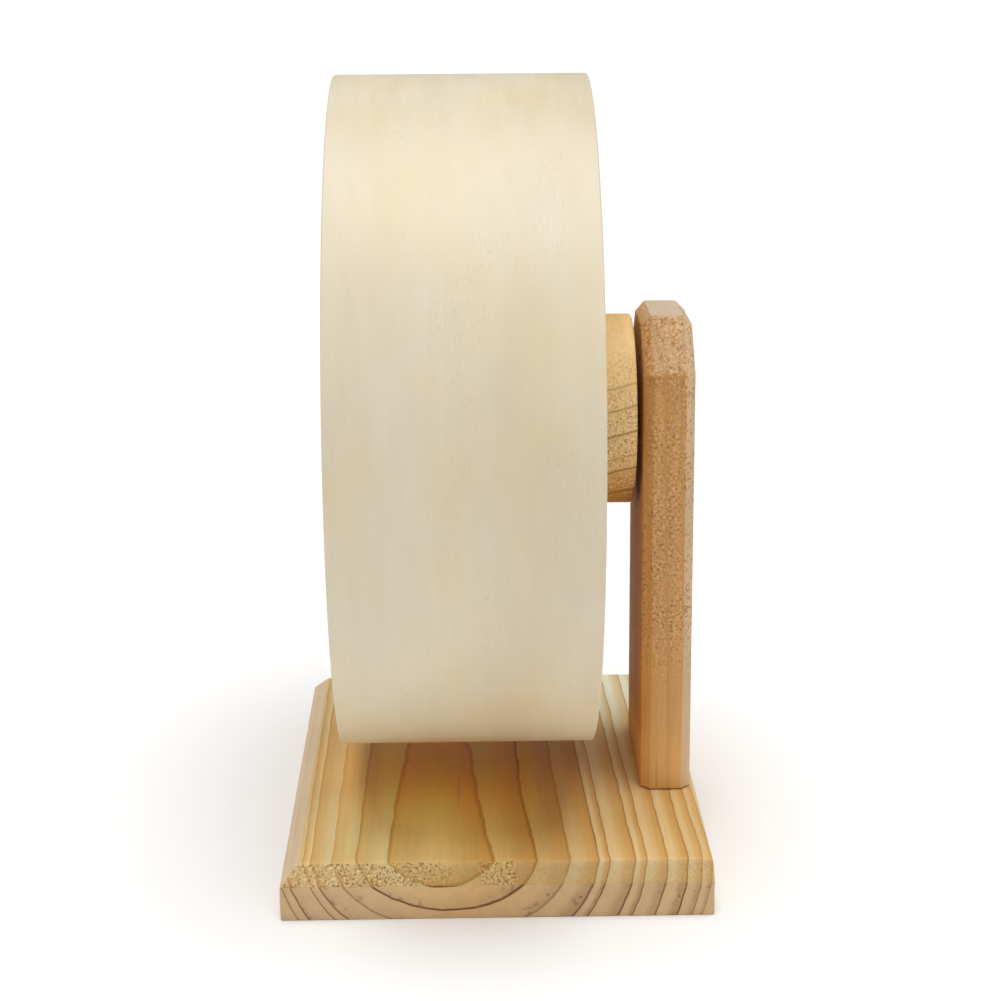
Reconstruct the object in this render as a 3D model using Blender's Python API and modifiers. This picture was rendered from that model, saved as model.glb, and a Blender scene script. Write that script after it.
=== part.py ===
"""A wooden exercise wheel for a small pet, on its stand.

A bent plywood drum, lined with cork and open at the front, turns on a ball bearing in a round hub block.
An axle bolt runs through the bearing and the upright post into a tee nut, and the post stands on a base board.

Metres, +Z up. The origin is the middle of the base board's underside, the axle lies along Y, and the drum's
open side faces -Y. Run it with: blender --background --python part.py
"""

import math

import bmesh
import bpy
from mathutils import Matrix, Vector

MM = 0.001

# Driving dimensions: the drum and the boards
WHEEL_RADIUS = 105 * MM
RIM_WIDTH = 78 * MM
RIM_THICKNESS = 3 * MM
CORK_THICKNESS = 2 * MM
CORK_SETBACK = 2 * MM
DISC_THICKNESS = 6 * MM
HUB_RADIUS = 30 * MM
HUB_THICKNESS = 14 * MM
BASE_LENGTH = 174 * MM
BASE_WIDTH = 129 * MM
BASE_THICKNESS = 16 * MM
BASE_CHAMFER = 5.5 * MM
POST_WIDTH = 58 * MM
POST_THICKNESS = 16 * MM
POST_HEIGHT = 151 * MM
POST_CORNER_CUT = 15.5 * MM
POST_CHAMFER = 3 * MM
POST_INSET = 1.8 * MM
WHEEL_CLEARANCE = 13.7 * MM
HUB_TO_POST = 2 * MM
EASED_EDGE = 1 * MM

# Hardware: an 8 x 22 x 7 mm ball bearing, an M8 x 40 bolt, its tee nut, and countersunk wood screws
BEARING_BORE = 4 * MM
BEARING_RADIUS = 11 * MM
BEARING_WIDTH = 7 * MM
INNER_SHOULDER = 6.05 * MM
OUTER_SHOULDER = 8.8 * MM
SHIELD_SEAT = 9.5 * MM
SHIELD_THICKNESS = 0.35 * MM
BALL_COUNT = 7
BALL_RADIUS = 1.984 * MM
BALL_PITCH_RADIUS = 7.5 * MM
BALL_CLEARANCE = 0.12 * MM
BOLT_RADIUS = 3.85 * MM
BOLT_LENGTH = 40 * MM
BOLT_HEAD_RADIUS = 8.5 * MM
BOLT_HEAD_THICKNESS = 2.5 * MM
BOLT_SOCKET_RADIUS = 2.9 * MM
BOLT_SOCKET_DEPTH = 3.5 * MM
BOLT_THREAD_LENGTH = 14 * MM
BOLT_PITCH = 1.25 * MM
SPACER_RADIUS = 6 * MM
WASHER_RADIUS = 8 * MM
WASHER_THICKNESS = 1.6 * MM
DISC_HOLE_RADIUS = 9 * MM
HUB_HOLE_RADIUS = 7.5 * MM
TEE_FLANGE_RADIUS = 11 * MM
TEE_FLANGE_THICKNESS = 1.5 * MM
TEE_BARREL_RADIUS = 5 * MM
TEE_BARREL_LENGTH = 12 * MM
TEE_PRONGS = 4
TEE_PRONG_RING = 8.4 * MM
TEE_PRONG_RADIUS = 1.4 * MM
TEE_PRONG_LENGTH = 6 * MM
POST_SCREW = {
    "length": 50 * MM,
    "head": 3.9 * MM,
    "crest": 2.0 * MM,
    "root": 1.4 * MM,
    "pitch": 3 * MM,
    "threaded": 30 * MM,
}
POST_SCREW_SPACING = 30 * MM
HUB_SCREW = {
    "length": 16 * MM,
    "head": 2.9 * MM,
    "crest": 1.5 * MM,
    "root": 1.05 * MM,
    "pitch": 1.8 * MM,
    "threaded": 12.6 * MM,
}
HUB_SCREW_COUNT = 4
HUB_SCREW_RING = 20 * MM

# Clearances: pieces that touch, pieces that fit one inside the other, and how far a cutter overshoots
TOUCH_GAP = 0.3 * MM
FIT_GAP = 0.15 * MM
SCREW_GAP = 0.2 * MM
AXLE_GAP = 0.1 * MM
HEAD_RECESS = 0.5 * MM
OVERSHOOT = 2 * MM

# How many flats a turned piece has
DRUM_SEGMENTS = 72
HUB_SEGMENTS = 48
BEARING_SEGMENTS = 32
BOLT_SEGMENTS = 16
SCREW_SEGMENTS = 12
BALL_SEGMENTS = 10
BALL_RINGS = 8
GROOVE_STEPS = 4

# Places along the axle, from the stand's back towards the open front, and the axle's height
POST_BACK = BASE_WIDTH / 2 - POST_INSET
POST_FRONT = POST_BACK - POST_THICKNESS
HUB_BACK = POST_FRONT - HUB_TO_POST
RIM_BACK = HUB_BACK - HUB_THICKNESS
RIM_FRONT = RIM_BACK - RIM_WIDTH
DISC_FRONT = RIM_BACK - DISC_THICKNESS
HUB_FRONT = RIM_BACK + TOUCH_GAP
BEARING_FRONT = RIM_BACK + 0.5 * MM
BEARING_BACK = BEARING_FRONT + BEARING_WIDTH
FRONT_SPACER_START = DISC_FRONT - 0.5 * MM
WASHER_START = FRONT_SPACER_START - WASHER_THICKNESS
BOLT_SEAT = WASHER_START - AXLE_GAP
AXLE_HEIGHT = BASE_THICKNESS + WHEEL_CLEARANCE + WHEEL_RADIUS

TURN_TO_Y = Matrix.Rotation(-math.pi / 2, 4, "X")
UPRIGHT = Matrix.Identity(4)


def clear_scene():
    for old in list(bpy.data.objects):
        bpy.data.objects.remove(old, do_unlink=True)


def new_collection(name):
    collection = bpy.data.collections.new(name)
    bpy.context.scene.collection.children.link(collection)
    return collection


def finish_material(name, colour, roughness, metallic=0.0):
    material = bpy.data.materials.new(name)
    material.use_nodes = True
    shader = material.node_tree.nodes["Principled BSDF"]
    shader.inputs["Base Color"].default_value = (*colour, 1)
    shader.inputs["Roughness"].default_value = roughness
    shader.inputs["Metallic"].default_value = metallic
    return material


def add_object(name, mesh, material, collection, parent=None, matrix=UPRIGHT):
    """Links a new object at matrix, which is in the world's frame, and parents it to an empty."""
    made = bpy.data.objects.new(name, mesh)
    collection.objects.link(made)
    if material and not mesh.materials:
        mesh.materials.append(material)
    if parent:
        made.parent = parent
        made.matrix_parent_inverse = parent.matrix_world.inverted()
    made.matrix_world = matrix
    return made


def add_empty(name, location, collection):
    empty = bpy.data.objects.new(name, None)
    empty.location = location
    collection.objects.link(empty)
    bpy.context.view_layer.update()
    return empty


def on_axle(along):
    """The place of a piece that is turned about the axle, with its own Z along the row's Y."""
    return Matrix.Translation((0, along, AXLE_HEIGHT)) @ TURN_TO_Y


def turned(name, profile, segments, material, collection, parent=None, matrix=UPRIGHT):
    """A solid of revolution about its own Z. The profile's (radius, height) points run down the outer side.

    A profile that starts and ends on the axis stays open there, and any other is a closed loop.
    """
    mesh = bpy.data.meshes.new(name)
    edges = [(i, i + 1) for i in range(len(profile) - 1)]
    if profile[0][0] > 0:
        edges.append((len(profile) - 1, 0))
    mesh.from_pydata([(radius, 0, height) for radius, height in profile], edges, [])
    made = add_object(name, mesh, material, collection, parent, matrix)
    screw = made.modifiers.new("Turn", "SCREW")
    screw.axis = "Z"
    screw.steps = segments
    screw.render_steps = segments
    screw.use_merge_vertices = True
    screw.merge_threshold = 0.000001
    screw.use_smooth_shade = True
    return made


def ring_profile(inner, outer, low, high, edge=0.0):
    """A rectangle that goes round at a distance from the axis, with its four corners cut by edge."""
    if not edge:
        return [(outer, high), (outer, low), (inner, low), (inner, high)]
    return [
        (outer - edge, high),
        (outer, high - edge),
        (outer, low + edge),
        (outer - edge, low),
        (inner + edge, low),
        (inner, low + edge),
        (inner, high - edge),
        (inner + edge, high),
    ]


def groove_points(shoulder, outward):
    """The ball groove of a bearing ring, as an arc from its high side to its low side."""
    radius = BALL_RADIUS + BALL_CLEARANCE
    side = 1 if outward else -1
    half = math.acos(side * (shoulder - BALL_PITCH_RADIUS) / radius)
    angles = [half - 2 * half * i / GROOVE_STEPS for i in range(GROOVE_STEPS + 1)]
    return [(BALL_PITCH_RADIUS + side * radius * math.cos(a), radius * math.sin(a)) for a in angles]


def thread_points(crest, root, top, bottom, pitch):
    """The zigzag of a thread, drawn as separate ridges, down the outer side from top to bottom."""
    count = int((top - bottom) / pitch)
    points = []
    for i in range(count):
        start = top - i * pitch
        points += [(root, start), (crest, start - 0.5 * pitch)]
    return points


def cut(target, cutter):
    boolean = target.modifiers.new("Cut " + cutter.name, "BOOLEAN")
    boolean.operation = "DIFFERENCE"
    boolean.object = cutter


def join(target, other):
    boolean = target.modifiers.new("Join " + other.name, "BOOLEAN")
    boolean.operation = "UNION"
    boolean.object = other


def as_helper(thing):
    thing.hide_render = True
    thing.display_type = "WIRE"
    return thing


def baked_mesh(source, helpers):
    """The evaluated mesh of source, for copies to share. The source and its helpers are then removed."""
    bpy.context.view_layer.update()
    graph = bpy.context.evaluated_depsgraph_get()
    mesh = bpy.data.meshes.new_from_object(source.evaluated_get(graph))
    for done in [source, *helpers]:
        bpy.data.objects.remove(done, do_unlink=True)
    return mesh


def box_mesh(name, size):
    """A box with its scale applied, centred on its own origin."""
    mesh = bpy.data.meshes.new(name)
    shape = bmesh.new()
    bmesh.ops.create_cube(shape, size=1, matrix=Matrix.Diagonal((*size, 1)))
    shape.to_mesh(mesh)
    shape.free()
    return mesh


def chamfer(mesh, width, chosen):
    """Cuts a flat chamfer along each edge that chosen, a test on the edge's two ends, picks."""
    shape = bmesh.new()
    shape.from_mesh(mesh)
    edges = [e for e in shape.edges if chosen(*(v.co for v in e.verts))]
    bmesh.ops.bevel(shape, geom=edges, offset=width, segments=1, affect="EDGES", clamp_overlap=True)
    shape.to_mesh(mesh)
    shape.free()


def near(a, b):
    return abs(a - b) < 0.01 * MM


def cone_object(name, radius, tip_radius, length, sides, collection, matrix):
    mesh = bpy.data.meshes.new(name)
    shape = bmesh.new()
    bmesh.ops.create_cone(
        shape, cap_ends=True, segments=sides, radius1=tip_radius, radius2=radius, depth=length
    )
    shape.to_mesh(mesh)
    shape.free()
    return as_helper(add_object(name, mesh, None, collection, None, matrix))


def wood_screw_mesh(spec, material, cutters):
    """A countersunk wood screw, its head's face at height 0 and its tip below, with a cross recess."""
    head, crest, root = spec["head"], spec["crest"], spec["root"]
    neck = -(head - root)
    tip_start = -spec["length"] + 3 * root
    profile = [(0, 0), (head, 0), (head, -0.3 * MM), (root, neck - 0.3 * MM)]
    profile += thread_points(crest, root, -spec["length"] + spec["threaded"], tip_start, spec["pitch"])
    profile += [(root, tip_start), (0, -spec["length"])]
    screw = turned("Screw source", profile, SCREW_SEGMENTS, material, cutters)
    slots = []
    for turn in (0, math.pi / 2):
        slot = add_object(
            "Driver slot",
            box_mesh("Driver slot", (1.25 * head, 0.28 * head, 1.0 * head)),
            None,
            cutters,
            None,
            Matrix.Rotation(turn, 4, "Z"),
        )
        slots.append(as_helper(slot))
        cut(screw, slot)
    return baked_mesh(screw, slots)


def screw_hole(name, spec, cutters, matrix):
    """The cutter of a countersunk screw's hole, in the screw's own place, a little wider than the screw."""
    head, crest = spec["head"] + SCREW_GAP, spec["crest"] + SCREW_GAP
    neck = -(head - crest)
    profile = [
        (0, OVERSHOOT),
        (head, OVERSHOOT),
        (head, -0.3 * MM - SCREW_GAP),
        (crest, neck - 0.3 * MM - SCREW_GAP),
        (crest, -spec["length"] - SCREW_GAP),
        (0, -spec["length"] - 1 * MM),
    ]
    return as_helper(turned(name, profile, SCREW_SEGMENTS, None, cutters, None, matrix))


def make_base(parts, cutters, stand, wood, holes):
    """A pine board with wide chamfers on three top edges, and an eased edge behind the post."""
    mesh = box_mesh("base_board", (BASE_LENGTH, BASE_WIDTH, BASE_THICKNESS))
    top, end, side = BASE_THICKNESS / 2, BASE_LENGTH / 2, BASE_WIDTH / 2

    def on_top(a, b):
        return near(a.z, top) and near(b.z, top)

    chamfer(
        mesh,
        BASE_CHAMFER,
        lambda a, b: on_top(a, b) and (near(abs(a.x + b.x), 2 * end) or near(a.y + b.y, -2 * side)),
    )
    chamfer(mesh, EASED_EDGE, lambda a, b: on_top(a, b) and near(a.y, side) and near(b.y, side))
    board = add_object(
        "base_board", mesh, wood, parts, stand, Matrix.Translation((0, 0, BASE_THICKNESS / 2))
    )
    for hole in holes:
        cut(board, hole)


def make_post(parts, cutters, stand, wood, holes, prong_pockets):
    """An upright plank with its two top corners cut off and every edge but the bottom chamfered."""
    bottom = BASE_THICKNESS + TOUCH_GAP
    height = POST_HEIGHT - TOUCH_GAP
    mesh = box_mesh("upright_post", (POST_WIDTH, POST_THICKNESS, height))
    half_width, half_thick, half_height = POST_WIDTH / 2, POST_THICKNESS / 2, height / 2
    chamfer(
        mesh,
        POST_CORNER_CUT,
        lambda a, b: near(a.z, half_height) and near(b.z, half_height) and near(a.x, b.x),
    )

    def on_outline(a, b):
        same_face = near(a.y, b.y) and near(abs(a.y), half_thick)
        along_bottom = near(a.z, -half_height) and near(b.z, -half_height)
        return same_face and not along_bottom

    chamfer(mesh, POST_CHAMFER, on_outline)
    centre = (0, (POST_FRONT + POST_BACK) / 2, bottom + half_height)
    post = add_object("upright_post", mesh, wood, parts, stand, Matrix.Translation(centre))
    axle_hole = turned(
        "Axle hole",
        [
            (0, OVERSHOOT),
            (TEE_FLANGE_RADIUS + TOUCH_GAP, OVERSHOOT),
            (TEE_FLANGE_RADIUS + TOUCH_GAP, -TEE_FLANGE_THICKNESS - TOUCH_GAP),
            (TEE_BARREL_RADIUS + FIT_GAP, -TEE_FLANGE_THICKNESS - TOUCH_GAP),
            (TEE_BARREL_RADIUS + FIT_GAP, -TEE_BARREL_LENGTH - 0.5 * MM),
            (BOLT_RADIUS + FIT_GAP, -TEE_BARREL_LENGTH - 0.5 * MM),
            (BOLT_RADIUS + FIT_GAP, -POST_THICKNESS - OVERSHOOT),
            (0, -POST_THICKNESS - OVERSHOOT),
        ],
        BEARING_SEGMENTS,
        None,
        cutters,
        None,
        on_axle(POST_BACK),
    )
    cut(post, as_helper(axle_hole))
    for hole in [*holes, *prong_pockets]:
        cut(post, hole)


def make_tee_nut(parts, cutters, stand, steel):
    """The nut's flange, threaded barrel and prongs. It returns the cutters of the prongs' pockets."""
    nut = turned(
        "tee_nut",
        [
            (TEE_FLANGE_RADIUS, 0),
            (TEE_FLANGE_RADIUS, -TEE_FLANGE_THICKNESS),
            (TEE_BARREL_RADIUS, -TEE_FLANGE_THICKNESS),
            (TEE_BARREL_RADIUS, -TEE_BARREL_LENGTH),
            (BOLT_RADIUS + FIT_GAP, -TEE_BARREL_LENGTH),
            (BOLT_RADIUS + FIT_GAP, 0),
        ],
        BEARING_SEGMENTS,
        steel,
        parts,
        stand,
        on_axle(POST_BACK),
    )
    pockets = []
    for i in range(TEE_PRONGS):
        turn = (i + 0.5) * 2 * math.pi / TEE_PRONGS
        middle = -TEE_FLANGE_THICKNESS - TEE_PRONG_LENGTH / 2 + 0.5 * MM
        place = on_axle(POST_BACK) @ Matrix.Rotation(turn, 4, "Z")
        place = place @ Matrix.Translation((TEE_PRONG_RING, 0, middle))
        prong = cone_object(
            f"Prong {i}", TEE_PRONG_RADIUS, 0.2 * MM, TEE_PRONG_LENGTH, 4, cutters, place
        )
        pocket = cone_object(
            f"Prong pocket {i}",
            TEE_PRONG_RADIUS + TOUCH_GAP,
            0.2 * MM + TOUCH_GAP,
            TEE_PRONG_LENGTH + 2 * TOUCH_GAP,
            4,
            cutters,
            place,
        )
        join(nut, prong)
        pockets.append(pocket)
    return pockets


def make_axle(parts, cutters, stand, steel):
    """The axle bolt with its washer inside the drum, and the two spacers that clamp the bearing's inner ring."""
    thread_top = -BOLT_LENGTH + 1 * MM + BOLT_THREAD_LENGTH
    head_edge = 0.5 * MM
    profile = [
        (0, BOLT_HEAD_THICKNESS),
        (BOLT_HEAD_RADIUS - head_edge, BOLT_HEAD_THICKNESS),
        (BOLT_HEAD_RADIUS, BOLT_HEAD_THICKNESS - head_edge),
        (BOLT_HEAD_RADIUS, 0),
        (BOLT_RADIUS, 0),
        (BOLT_RADIUS, thread_top),
    ]
    profile += thread_points(
        BOLT_RADIUS, BOLT_RADIUS - 0.6 * MM, thread_top, -BOLT_LENGTH + 1 * MM, BOLT_PITCH
    )
    profile += [(BOLT_RADIUS - 0.8 * MM, -BOLT_LENGTH), (0, -BOLT_LENGTH)]
    place = on_axle(BOLT_SEAT) @ Matrix.Rotation(math.pi, 4, "X")
    bolt = turned("axle_bolt", profile, BOLT_SEGMENTS, steel, parts, stand, place)
    socket_length = BOLT_SOCKET_DEPTH + OVERSHOOT
    socket_middle = BOLT_HEAD_THICKNESS - BOLT_SOCKET_DEPTH + socket_length / 2
    socket = cone_object(
        "Hex socket",
        BOLT_SOCKET_RADIUS,
        BOLT_SOCKET_RADIUS,
        socket_length,
        6,
        cutters,
        place @ Matrix.Translation((0, 0, socket_middle)),
    )
    cut(bolt, socket)

    bore = BOLT_RADIUS + FIT_GAP
    sleeves = (
        ("head_washer", WASHER_RADIUS, WASHER_START, FRONT_SPACER_START - AXLE_GAP),
        ("front_spacer", SPACER_RADIUS, FRONT_SPACER_START, BEARING_FRONT - AXLE_GAP),
        ("rear_spacer", SPACER_RADIUS, BEARING_BACK + AXLE_GAP, POST_FRONT - AXLE_GAP),
    )
    for name, radius, start, end in sleeves:
        profile = ring_profile(bore, radius, 0, end - start)
        turned(name, profile, BEARING_SEGMENTS, steel, parts, stand, on_axle(start))


def make_bearing(parts, cutters, stand, wheel, cage_centre, steel, shield_steel, nylon):
    """A shielded ball bearing. Its inner ring is fixed to the axle, and its outer ring turns with the wheel."""
    half = BEARING_WIDTH / 2
    centre = on_axle(BEARING_FRONT + half)
    edge = 0.3 * MM
    shield_low = half - 0.4 * MM - SHIELD_THICKNESS
    inner = [
        (INNER_SHOULDER, half),
        *groove_points(INNER_SHOULDER, outward=False),
        (INNER_SHOULDER, -half),
        (BEARING_BORE + edge, -half),
        (BEARING_BORE, -half + edge),
        (BEARING_BORE, half - edge),
        (BEARING_BORE + edge, half),
    ]
    turned("bearing_inner_ring", inner, BEARING_SEGMENTS, steel, parts, stand, centre)
    seat_low = shield_low - FIT_GAP
    outer = [
        (BEARING_RADIUS - edge, half),
        (BEARING_RADIUS, half - edge),
        (BEARING_RADIUS, -half + edge),
        (BEARING_RADIUS - edge, -half),
        (SHIELD_SEAT, -half),
        (SHIELD_SEAT, -seat_low),
        (OUTER_SHOULDER, -seat_low),
        *reversed(groove_points(OUTER_SHOULDER, outward=True)),
        (OUTER_SHOULDER, seat_low),
        (SHIELD_SEAT, seat_low),
        (SHIELD_SEAT, half),
    ]
    turned("bearing_outer_ring", outer, BEARING_SEGMENTS, steel, parts, wheel, centre)
    for name, low in (
        ("bearing_rear_shield", shield_low),
        ("bearing_front_shield", -shield_low - SHIELD_THICKNESS),
    ):
        profile = ring_profile(INNER_SHOULDER + 0.3 * MM, SHIELD_SEAT - FIT_GAP, low, low + SHIELD_THICKNESS)
        turned(name, profile, BEARING_SEGMENTS, shield_steel, parts, wheel, centre)

    cage = turned(
        "bearing_cage",
        ring_profile(BALL_PITCH_RADIUS - 0.8 * MM, BALL_PITCH_RADIUS + 0.8 * MM, -2.5 * MM, 1.2 * MM),
        BEARING_SEGMENTS,
        nylon,
        parts,
        cage_centre,
        centre,
    )
    ball_mesh = bpy.data.meshes.new("Ball")
    shape = bmesh.new()
    bmesh.ops.create_uvsphere(
        shape, u_segments=BALL_SEGMENTS, v_segments=BALL_RINGS, radius=BALL_RADIUS
    )
    shape.to_mesh(ball_mesh)
    shape.free()
    ball_mesh.shade_smooth()
    pocket_scale = (BALL_RADIUS + FIT_GAP) / BALL_RADIUS
    for i in range(BALL_COUNT):
        place = centre @ Matrix.Rotation(i * 2 * math.pi / BALL_COUNT, 4, "Z")
        place = place @ Matrix.Translation((BALL_PITCH_RADIUS, 0, 0))
        add_object(f"bearing_ball_{i + 1}", ball_mesh, steel, parts, cage_centre, place)
        pocket_mesh = ball_mesh.copy()
        pocket_mesh.transform(Matrix.Scale(pocket_scale, 4))
        pocket = add_object(f"Ball pocket {i}", pocket_mesh, None, cutters, None, place)
        cut(cage, as_helper(pocket))


def make_drum(parts, cutters, wheel, plywood, cork, pine, steel):
    """The bent rim, its cork lining, the back disc, and the hub block that the disc is screwed to."""
    turned(
        "rim_band",
        ring_profile(WHEEL_RADIUS - RIM_THICKNESS, WHEEL_RADIUS, 0, RIM_WIDTH, 0.6 * MM),
        DRUM_SEGMENTS,
        plywood,
        parts,
        wheel,
        on_axle(RIM_FRONT),
    )
    cork_outer = WHEEL_RADIUS - RIM_THICKNESS - FIT_GAP
    cork_width = DISC_FRONT - TOUCH_GAP - (RIM_FRONT + CORK_SETBACK)
    turned(
        "cork_lining",
        ring_profile(cork_outer - CORK_THICKNESS, cork_outer, 0, cork_width),
        DRUM_SEGMENTS,
        cork,
        parts,
        wheel,
        on_axle(RIM_FRONT + CORK_SETBACK),
    )
    disc = turned(
        "back_disc",
        ring_profile(DISC_HOLE_RADIUS, WHEEL_RADIUS - RIM_THICKNESS - FIT_GAP, 0, DISC_THICKNESS),
        DRUM_SEGMENTS,
        plywood,
        parts,
        wheel,
        on_axle(DISC_FRONT),
    )
    hub_length = HUB_BACK - HUB_FRONT
    seat_end = BEARING_BACK + AXLE_GAP - HUB_FRONT
    hub = turned(
        "hub_block",
        [
            (HUB_RADIUS - EASED_EDGE, hub_length),
            (HUB_RADIUS, hub_length - EASED_EDGE),
            (HUB_RADIUS, 0),
            (BEARING_RADIUS + FIT_GAP, 0),
            (BEARING_RADIUS + FIT_GAP, seat_end),
            (HUB_HOLE_RADIUS, seat_end),
            (HUB_HOLE_RADIUS, hub_length),
        ],
        HUB_SEGMENTS,
        pine,
        parts,
        wheel,
        on_axle(HUB_FRONT),
    )
    screw_mesh = wood_screw_mesh(HUB_SCREW, steel, cutters)
    for i in range(HUB_SCREW_COUNT):
        turn = (i + 0.5) * 2 * math.pi / HUB_SCREW_COUNT
        place = on_axle(DISC_FRONT + HEAD_RECESS) @ Matrix.Rotation(turn, 4, "Z")
        place = place @ Matrix.Translation((HUB_SCREW_RING, 0, 0)) @ Matrix.Rotation(math.pi, 4, "X")
        hole = screw_hole(f"Hub screw hole {i}", HUB_SCREW, cutters, place)
        cut(disc, hole)
        cut(hub, hole)
        add_object(f"hub_screw_{i + 1}", screw_mesh, steel, parts, wheel, place)


def main():
    clear_scene()
    parts = new_collection("exercise_wheel")
    cutters = new_collection("cutters")
    cutters.hide_render = True
    stand = add_empty("stand", (0, 0, 0), parts)
    wheel = add_empty("wheel_axis", (0, (RIM_FRONT + HUB_BACK) / 2, AXLE_HEIGHT), parts)
    cage_centre = add_empty("cage_axis", (0, BEARING_FRONT + BEARING_WIDTH / 2, AXLE_HEIGHT), parts)

    pine = finish_material("pine", (0.62, 0.42, 0.22), 0.65)
    fir = finish_material("red fir", (0.47, 0.26, 0.11), 0.65)
    plywood = finish_material("poplar plywood", (0.70, 0.60, 0.43), 0.6)
    cork = finish_material("cork", (0.42, 0.24, 0.12), 0.9)
    zinc = finish_material("zinc-plated steel", (0.60, 0.61, 0.62), 0.3, 1)
    bearing_steel = finish_material("bearing steel", (0.70, 0.70, 0.71), 0.15, 1)
    shield_steel = finish_material("shield steel", (0.55, 0.55, 0.56), 0.35, 1)
    nylon = finish_material("nylon", (0.75, 0.72, 0.62), 0.5)

    post_screw_mesh = wood_screw_mesh(POST_SCREW, zinc, cutters)
    holes = []
    for name, side in (("left", -1), ("right", 1)):
        centre = Vector((side * POST_SCREW_SPACING / 2, (POST_FRONT + POST_BACK) / 2, HEAD_RECESS))
        place = Matrix.Translation(centre) @ Matrix.Rotation(math.pi, 4, "X")
        holes.append(screw_hole(f"Post screw hole {name}", POST_SCREW, cutters, place))
        add_object(f"post_screw_{name}", post_screw_mesh, zinc, parts, stand, place)

    pockets = make_tee_nut(parts, cutters, stand, zinc)
    make_base(parts, cutters, stand, pine, holes)
    make_post(parts, cutters, stand, fir, holes, pockets)
    make_axle(parts, cutters, stand, zinc)
    make_bearing(parts, cutters, stand, wheel, cage_centre, bearing_steel, shield_steel, nylon)
    make_drum(parts, cutters, wheel, plywood, cork, pine, zinc)


main()
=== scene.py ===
"""The looks of the wooden exercise wheel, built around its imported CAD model.

Every visible piece is turned or cut again at a finer grain than the CAD solid that it replaces, in the same
place. The woods are solid textures: growth rings about the line of a tree's pith, which a board's faces cut.
"""

import math

import bmesh
import bpy
from mathutils import Matrix, Vector, noise


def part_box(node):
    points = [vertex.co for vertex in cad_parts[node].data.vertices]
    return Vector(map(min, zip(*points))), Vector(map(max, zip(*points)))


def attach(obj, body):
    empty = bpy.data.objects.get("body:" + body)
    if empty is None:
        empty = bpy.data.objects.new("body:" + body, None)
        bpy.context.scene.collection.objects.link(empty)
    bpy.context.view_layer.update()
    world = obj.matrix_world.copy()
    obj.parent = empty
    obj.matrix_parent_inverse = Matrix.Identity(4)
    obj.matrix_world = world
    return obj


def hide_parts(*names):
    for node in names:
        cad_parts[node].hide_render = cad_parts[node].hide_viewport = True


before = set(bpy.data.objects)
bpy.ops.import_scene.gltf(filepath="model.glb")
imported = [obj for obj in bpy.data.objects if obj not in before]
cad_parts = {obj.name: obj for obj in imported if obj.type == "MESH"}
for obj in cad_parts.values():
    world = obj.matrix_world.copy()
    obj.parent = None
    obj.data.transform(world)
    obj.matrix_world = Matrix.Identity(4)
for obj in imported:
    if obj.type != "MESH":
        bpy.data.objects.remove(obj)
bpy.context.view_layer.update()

MM = 0.001

# Places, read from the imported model
BASE_LOW, BASE_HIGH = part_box("base_board")
POST_LOW, POST_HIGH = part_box("upright_post")
RIM_LOW, RIM_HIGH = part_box("rim_band")
CORK_LOW, CORK_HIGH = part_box("cork_lining")
DISC_LOW, DISC_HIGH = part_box("back_disc")
HUB_LOW, HUB_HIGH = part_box("hub_block")
RING_LOW, RING_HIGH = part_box("bearing_outer_ring")
BOLT_LOW, BOLT_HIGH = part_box("axle_bolt")
NUT_LOW, NUT_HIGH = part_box("tee_nut")
AXLE_HEIGHT = (RIM_LOW.z + RIM_HIGH.z) / 2
RIM_RADIUS = (RIM_HIGH.z - RIM_LOW.z) / 2
RING_RADIUS = (RING_HIGH.x - RING_LOW.x) / 2
NUT_RADIUS = (NUT_HIGH.x - NUT_LOW.x) / 2

# The boards' edges and the drum's sheets, as the CAD sizes them
BASE_CHAMFER = 5.5 * MM
POST_CORNER_CUT = 15.5 * MM
POST_CHAMFER = 3 * MM
EASED_EDGE = 1 * MM
RIM_THICKNESS = 3 * MM
CORK_THICKNESS = 2 * MM
DISC_HOLE = 9 * MM
HUB_HOLE = 7.5 * MM

# The hardware, as the CAD sizes it; the screws' sizes are in millimetres
BOLT_RADIUS = 3.85 * MM
BOLT_HEAD_THICKNESS = 2.5 * MM
BOLT_SOCKET_RADIUS = 2.9 * MM
BOLT_SOCKET_DEPTH = 3.5 * MM
BOLT_THREAD_LENGTH = 14 * MM
BOLT_PITCH = 1.25 * MM
THREAD_DEPTH = 0.6 * MM
FLANGE_THICKNESS = 1.5 * MM
BARREL_RADIUS = 5 * MM
BARREL_LENGTH = 12 * MM
PRONG_COUNT = 4
PRONG_RING = 8.4 * MM
PRONG_RADIUS = 1.4 * MM
PRONG_LENGTH = 6 * MM
PRONG_TIP = 0.2 * MM
PRONG_ROOT = 0.5 * MM
BALL_PITCH_RADIUS = 7.5 * MM
BALL_RADIUS = 1.984 * MM
BALL_COUNT = 7
BEARING_BORE = 4 * MM
INNER_SHOULDER = 6.05 * MM
OUTER_SHOULDER = 8.8 * MM
SHIELD_SEAT = 9.5 * MM
GROOVE_RADIUS = 2.1 * MM
HEAD_EDGE = 0.3 * MM
POST_SCREW = {"length": 50, "head": 3.9, "crest": 2.0, "root": 1.4, "pitch": 3.0, "threaded": 30}
HUB_SCREW = {"length": 16, "head": 2.9, "crest": 1.5, "root": 1.05, "pitch": 1.8, "threaded": 12.6}

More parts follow.
